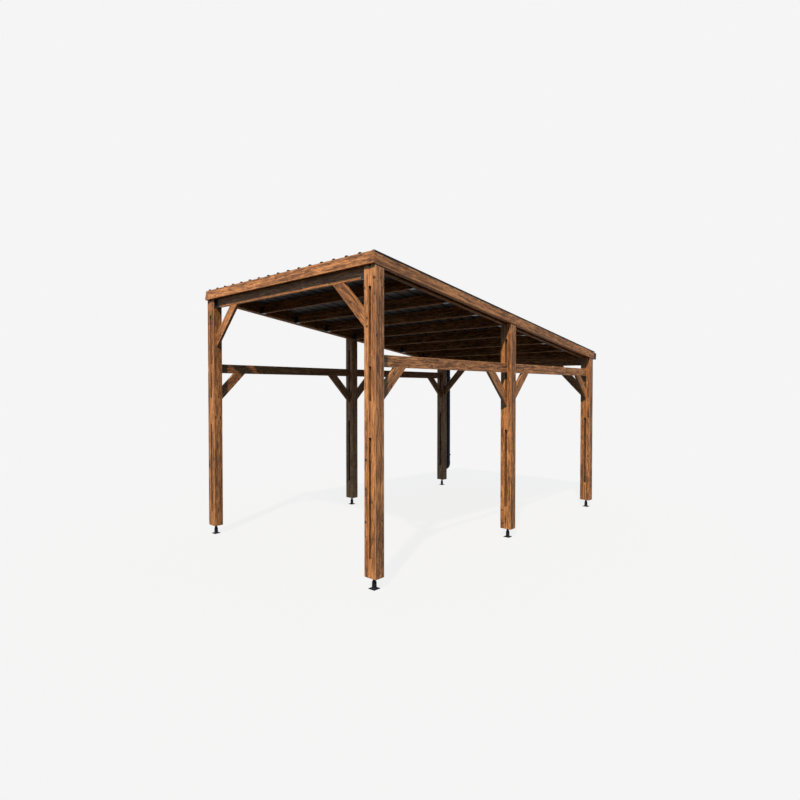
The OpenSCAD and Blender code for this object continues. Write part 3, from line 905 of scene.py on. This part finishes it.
class CARPORT_OT_roof_sheet(bpy.types.Operator):
    """Ribbed sheet with eased bends, side laps and sealed screws"""

    bl_idname = "carport.roof_sheet"
    bl_label = "Roof sheet"

    def execute(self, context):
        roof, fall = context.scene.carport_roof, roof_fall()
        low, high = fall.reach(node_verts("roof_sheet"))
        pan = high[2] - roof.pan_depth - roof.thickness
        coat = coated_steel("Anthracite sheet", roof.sheet, 0.0, 0.5, dusty=0.035, runs=0.1, specular=0.1)
        back = coated_steel("Matt sheet back", roof.back, 0.0, 0.45, dusty=0.0, runs=0.25, specular=0.14)
        sheet = Metalwork()
        self.roll(sheet, fall, *self.section(roof, high[0]), pan, low[1], high[1])
        for lap in range(1, roof.sheets):
            x = self.rib_x(roof, RIBS[lap * len(RIBS) // roof.sheets])
            self.side_lap(sheet, fall, roof, x, pan, low[1], high[1])
        finish_piece(sheet.build("sheet_roof", coat, back), "roof_sheet", "roof_sheet")
        self.screws(roof, fall, pan)
        return {"FINISHED"}

    def rib_x(self, roof, k):
        """Middle of a rib across the roof."""
        return roof.rib_shift + k * roof.rib_pitch

    def rib(self, roof):
        """Line over one rib, from foot to foot."""
        foot, crown, rise = roof.rib_foot / 2, roof.rib_crown / 2, roof.rib_height
        return [(-foot, 0), (-crown, rise), (crown, rise), (foot, 0)]

    def section(self, roof, edge):
        """Upper and lower line of the sheet across the roof, as matching lists of points."""
        t, drop, side = roof.thickness, -roof.lip, edge + LIP_GAP
        ribs = [
            (min(self.rib_x(roof, k) + dx, edge - 2 * t), min(dz, roof.edge_rise) if k == RIBS[-1] else dz)
            for k in RIBS
            for dx, dz in self.rib(roof)
        ]
        inner = [(-side, drop), (-side, 0), *ribs, (side, 0), (side, drop)]
        over = [(x, z + t) for x, z in ribs]
        outer = [(-side - t, drop), (-side - t, t), *over, (side + t, t), (side + t, drop)]
        return self.ease(outer), self.ease(inner)

    def ease(self, line):
        """Line with each corner replaced by a short bend."""
        eased = [line[0]]
        for corner in zip(line, line[1:], line[2:]):
            a, b, c = map(Vector, corner)
            back, on = a - b, c - b
            r = min(BEND_R, 0.4 * back.length, 0.4 * on.length)
            start, end = b + back.normalized() * r, b + on.normalized() * r
            for s in (0.0, 0.33, 0.67, 1.0):
                eased.append(tuple(start.lerp(b, s).lerp(b.lerp(end, s), s)))
        return [*eased, line[-1]]

    def roll(self, work, fall, outer, inner, pan, start, end, runs=16):
        """Closed sheet between two lines, rolled down the fall, with the second coat on its underside."""
        count, points = len(outer), []
        for step in range(runs + 1):
            u = start + (end - start) * step / runs
            points += [fall.point(x, u, pan + z) for x, z in (*outer, *inner)]
        faces, under, row = [], [], 2 * count
        for step in range(runs):
            a, b = step * row, (step + 1) * row
            for k in range(count - 1):
                faces.append([a + k + 1, b + k + 1, b + k, a + k])
                under.append([b + count + k, b + count + k + 1, a + count + k + 1, a + count + k])
            for k, turn in ((0, 1), (count - 1, -1)):
                faces.append([a + k, a + count + k, b + count + k, b + k][::-turn])
        for base, turn in ((0, 1), (runs * row, -1)):
            for k in range(base, base + count - 1):
                faces.append([k, k + 1, count + k + 1, count + k][::-turn])
        work.add(points, faces + under, coats=[0] * len(faces) + [1] * len(under))

    def side_lap(self, work, fall, roof, x, pan, start, end):
        """Edge of the next sheet, lying over a rib of the one before."""
        rib, t = self.rib(roof), roof.thickness
        before, after, short = 0.016, 0.004, 0.002
        line = [(rib[0][0] - before, 0), *rib, (rib[-1][0] + after, 0)]
        over, under = ([(x + dx, dz + t + lift) for dx, dz in line] for lift in (0.0009, 0.0001))
        self.roll(work, fall, self.ease(over), self.ease(under), pan, start, end - short, runs=2)

    def screws(self, roof, fall, pan):
        """Hexagon screws with sealing washers, in the pans over each purlin."""
        coat = coated_steel("Anthracite screws", roof.sheet, 0.4, 0.4, dusty=0.15, runs=0.1)
        work, r = Metalwork(), roof.washer_d / 2
        washer = [(r, 0), (r, 0.0009), (r * 0.86, 0.0021), (r * 0.5, 0.0026)]
        hexagon = [(0.0052, 0.0024), (0.0052, 0.0066), (0.0044, 0.0074), (0, 0.0076)]
        for solid in loose_solids("purlins"):
            low, high = fall.reach(solid.verts)
            for k in RIBS[:-1:2]:
                x = self.rib_x(roof, k + 0.5)
                place = seat(fall.point(x, (low[1] + high[1]) / 2, pan + roof.thickness), fall.n)
                work.turn(washer, 16, place)
                work.turn(hexagon, 6, place, False)
        finish_piece(work.build("sheet_screws", coat), "roof_sheet")


class CARPORT_OT_drainage(bpy.types.Operator):
    """Gutter, straps, downpipe, elbow and clips"""

    bl_idname = "carport.drainage"
    bl_label = "Gutter and downpipe"

    def execute(self, context):
        roof, steel = context.scene.carport_roof, context.scene.carport_steel
        coat = coated_steel("Slate gutter coat", roof.drain, 0.0, 0.45, dusty=0.05, runs=0.1, specular=0.14)
        strap = coated_steel("Black strap steel", steel.strap, 0.6, 0.42, dusty=0.1, runs=0.1)
        for finish, nodes in (
            (coat, ("gutter", "gutter_outlet", "gutter_leaves", "gutter_ends", "downpipe", "pipe_elbow")),
            (strap, ("gutter_brackets", "pipe_clips")),
        ):
            for node in nodes:
                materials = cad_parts[node].data.materials
                materials.clear()
                materials.append(finish)
        fall, collars, fixings = roof_fall(), Metalwork(), Metalwork()
        low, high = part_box("downpipe")
        pipe = (low.x + high.x) / 2, (low.y + high.y) / 2, (high.x - low.x) / 2
        self.outlet_collar(collars, fall, *pipe)
        self.rolled_mouth(collars)
        finish_piece(collars.build("drain_collars", coat), "drain_sheet")
        self.strap_rivets(fixings, fall)
        self.clip_bolts(fixings, *pipe)
        finish_piece(fixings.build("drain_fixings", strap), "bracket_steel")
        return {"FINISHED"}

    def outlet_collar(self, work, fall, x, y, r):
        """Flanged collar under the sole of the gutter, round the top of the downpipe."""
        sole = fall.reach(node_verts("gutter"))[0][2] + fall.base
        sides, rings = 40, []
        for widen, drop, lean in (
            (0.0110, 0.0, 1.0), (0.0110, 0.0016, 1.0), (0.0048, 0.0040, 0.9), (0.0032, 0.0120, 0.3),
            (0.0030, 0.0400, 0.0), (0.0046, 0.0415, 0.0), (0.0046, 0.0450, 0.0), (0.0002, 0.0465, 0.0),
        ):
            ring = []
            for k in range(sides):
                a = 2 * math.pi * k / sides
                dx, dy = (r + widen) * math.cos(a), (r + widen) * math.sin(a)
                ring.append((x + dx, y + dy, (sole - (y + lean * dy) * fall.n.y) / fall.n.z - drop))
            rings.append(ring)
        work.skin(rings)

    def rolled_mouth(self, work):
        """Rolled rim on the open end of the elbow."""
        points = [v.co for v in node_verts("pipe_elbow")]
        bend = math.radians(78)
        out = Vector((-math.sin(bend), 0, -math.cos(bend)))
        end = max(p.dot(out) for p in points)
        mouth = [p for p in points if p.dot(out) > end - 1e-4]
        centre = sum(mouth, Vector()) / len(mouth)
        r = max((p - centre).length for p in mouth)
        rim = (
            (-0.0004, -0.0046), (0.0020, -0.0040), (0.0028, -0.0022), (0.0022, -0.0004), (0.0004, 0.0006),
            (-0.0016, 0.0002),
        )
        work.turn([(r + widen, z) for widen, z in rim], 40, seat(centre, out))

    def strap_rivets(self, work, fall):
        """Two rivets in the outer leg of each strap."""
        rivet = [(0.0042, -0.0002), (0.0042, 0.0008), (0.0032, 0.0019), (0.0014, 0.0025), (0, 0.0026)]
        for solid in loose_solids("gutter_brackets"):
            low, high = fall.reach(solid.verts)
            for up in (0.018, 0.072):
                work.turn(rivet, 14, seat(fall.point((low[0] + high[0]) / 2, high[1], low[2] + up), fall.u))

    def clip_bolts(self, work, x, y, r):
        """Ears, bolts and nuts that close the ring clips, and a nut on each rod."""
        head = [(0.0062, 0), (0.0062, 0.0036), (0.0050, 0.0046), (0, 0.0046)]
        nut = [(0.0062, 0), (0.0062, 0.0044), (0.0036, 0.0050)]
        end = [(0.0030, 0.0044), (0.0030, 0.0090), (0, 0.0096)]
        rod_nut = [
            (0.0050, 0), (0.0088, 0.0003), (0.0098, 0.0016), (0.0098, 0.0064), (0.0088, 0.0077), (0.0050, 0.0080),
        ]
        near, far = 0.0006, 0.0034
        ear_in, ear_out, bolt_at = r + 0.0015, r + 0.0205, r + 0.0115
        for solid in loose_solids("pipe_clips"):
            low, high = LEVEL.reach(solid.verts)
            z = (low.z + high.z) / 2
            for way in (-1, 1):
                side = Matrix.Translation((x, y, 0)) @ Matrix.Diagonal((way, 1, 1, 1))
                for y0, y1 in ((near, far), (-far, -near)):
                    self.ear(work, side, ear_in, ear_out, y0, y1, low.z, high.z)
                bolt = x + way * bolt_at
                behind = seat((bolt, y - far, z), (0, -1, 0))
                work.turn(head, 6, seat((bolt, y + far, z), (0, 1, 0)), False)
                work.turn(nut, 6, behind, False)
                work.turn(end, 12, behind)
            work.turn(rod_nut, 6, seat((x, low.y + 0.0030, z), (0, 1, 0)), False)

    def ear(self, work, place, x0, x1, y0, y1, z0, z1):
        """Flat ear with its outer corners cut."""
        cut = (z1 - z0) * 0.25
        outline = [(x0, z0), (x1 - cut, z0), (x1, z0 + cut), (x1, z1 - cut), (x1 - cut, z1), (x0, z1)]
        count = len(outline)
        points = [(x, y, z) for y in (y0, y1) for x, z in outline]
        faces = [list(range(count)), [count + k for k in reversed(range(count))]]
        faces += [[(k + 1) % count, k, count + k, count + (k + 1) % count] for k in range(count)]
        work.add(points, faces, False, place)


class CARPORT_OT_stage(bpy.types.Operator):
    """Pale floor, key light, soft surround and the camera"""

    bl_idname = "carport.stage"
    bl_label = "Stage"

    def execute(self, context):
        scene, stage = context.scene, context.scene.carport_stage
        scene.view_settings.view_transform = "Standard"
        self.surround(scene, stage)
        self.floor(stage)
        lamp = bpy.data.lights.new("key_light", "SUN")
        lamp.energy, lamp.color, lamp.angle = stage.sun, stage.sun_tint, stage.sun_angle
        key = bpy.data.objects.new("key_light", lamp)
        key.rotation_euler = Vector(stage.sun_way).to_track_quat("-Z", "Y").to_euler()
        scene.collection.objects.link(key)
        view = bpy.data.cameras.new("camera")
        view.sensor_width, view.lens = 36.0, stage.lens
        camera = bpy.data.objects.new("camera", view)
        camera.location, camera.rotation_euler = stage.camera, stage.camera_turn
        scene.collection.objects.link(camera)
        scene.camera = camera
        return {"FINISHED"}

    def seen(self, g):
        """One for what the camera sees, straight or in gloss and glass."""
        path = g.node("LightPath").outputs
        gloss = g.math("MAXIMUM", path["Is Glossy Ray"], path["Is Transmission Ray"])
        return g.math("MAXIMUM", path["Is Camera Ray"], gloss)

    def surround(self, scene, stage):
        """World that looks like the backdrop and lights like a soft sky."""
        world = bpy.data.worlds.new("surround")
        scene.world = world
        world.use_nodes = True
        g = Graph(world.node_tree)
        height = g.split(g.node("TexCoord").outputs["Generated"])[2]
        rise = g.times(g.step(height, 0.0, SKY_RISE), stage.zenith - stage.horizon)
        soft = g.mix(1.0, tuple(stage.sky), g.total(rise, stage.horizon), "MULTIPLY")
        hue = g.mix(self.seen(g), soft, tuple(stage.backdrop))
        g.put(world.node_tree.nodes["Background"].inputs["Color"], hue)

    def floor(self, stage):
        """Floor that looks like the backdrop with the carport's shadow on it."""
        made = bpy.data.materials.new("Pale floor")
        made.use_nodes = True
        g = Graph(made.node_tree)
        made.node_tree.nodes.remove(made.node_tree.nodes["Principled BSDF"])

        # Glow that, with the light that the shadow catcher throws back, comes to the backdrop
        bands = 100
        steps = [min(1.0, (k + 0.5) / bands / SKY_RISE) for k in range(bands)]
        soft = sum(
            (stage.horizon + (stage.zenith - stage.horizon) * s * s * (3 - 2 * s)) * (2 * k + 1) / bands ** 2
            for k, s in enumerate(steps)
        )
        sun = stage.sun * -Vector(stage.sun_way).normalized().z / math.pi
        light = [sun * tint + soft * sky for tint, sky in zip(stage.sun_tint, stage.sky)]
        glow = [b - stage.shadow * e for b, e in zip(stage.backdrop, light)]

        pale = g.node("Emission", Color=(*glow, 1))
        catch, back = (g.node("BsdfDiffuse", Color=(grey, grey, grey, 1)) for grey in (stage.shadow, stage.bounce))
        shown, pick = g.node("AddShader"), g.node("MixShader", Fac=self.seen(g))
        for socket, source in (
            (shown.inputs[0], pale), (shown.inputs[1], catch), (pick.inputs[1], back), (pick.inputs[2], shown),
            (made.node_tree.nodes["Material Output"].inputs[0], pick),
        ):
            g.put(socket, source.outputs[0])
        rim, radius, depth = 96, 120.0, -0.0004
        turns = [2 * math.pi * k / rim for k in range(rim)]
        points = [(radius * math.cos(a), radius * math.sin(a), depth) for a in turns]
        new_object("floor", points, [list(range(rim))], made)


class CARPORT_PT_panel(bpy.types.Panel):
    """Carport pieces and settings in the sidebar"""

    bl_idname = "CARPORT_PT_panel"
    bl_label = "Carport"
    bl_space_type = "VIEW_3D"
    bl_region_type = "UI"
    bl_category = "Carport"

    def draw(self, context):
        for operator in OPERATORS:
            self.layout.operator(operator.bl_idname)
        for name, kind in SETTINGS.items():
            settings = getattr(context.scene, name)
            box = self.layout.box()
            for prop in kind.__annotations__:
                box.prop(settings, prop)


SETTINGS = {
    "carport_timber": TimberSettings,
    "carport_steel": SteelSettings,
    "carport_roof": RoofSettings,
    "carport_stage": StageSettings,
}
OPERATORS = (
    CARPORT_OT_posts,
    CARPORT_OT_rails,
    CARPORT_OT_headers,
    CARPORT_OT_roof_frame,
    CARPORT_OT_feet,
    CARPORT_OT_hangers,
    CARPORT_OT_screws,
    CARPORT_OT_roof_sheet,
    CARPORT_OT_drainage,
    CARPORT_OT_stage,
)


def register():
    for cls in (*SETTINGS.values(), *OPERATORS, CARPORT_PT_panel):
        bpy.utils.register_class(cls)
    for name, kind in SETTINGS.items():
        setattr(bpy.types.Scene, name, PointerProperty(type=kind))


def unregister():
    for name in SETTINGS:
        delattr(bpy.types.Scene, name)
    for cls in (CARPORT_PT_panel, *reversed(OPERATORS), *reversed(SETTINGS.values())):
        bpy.utils.unregister_class(cls)


def main():
    register()
    bpy.ops.carport.posts()
    bpy.ops.carport.rails()
    bpy.ops.carport.headers()
    bpy.ops.carport.roof_frame()
    bpy.ops.carport.feet()
    bpy.ops.carport.hangers()
    bpy.ops.carport.screws()
    bpy.ops.carport.roof_sheet()
    bpy.ops.carport.drainage()
    bpy.ops.carport.stage()


if __name__ == "__main__":
    main()
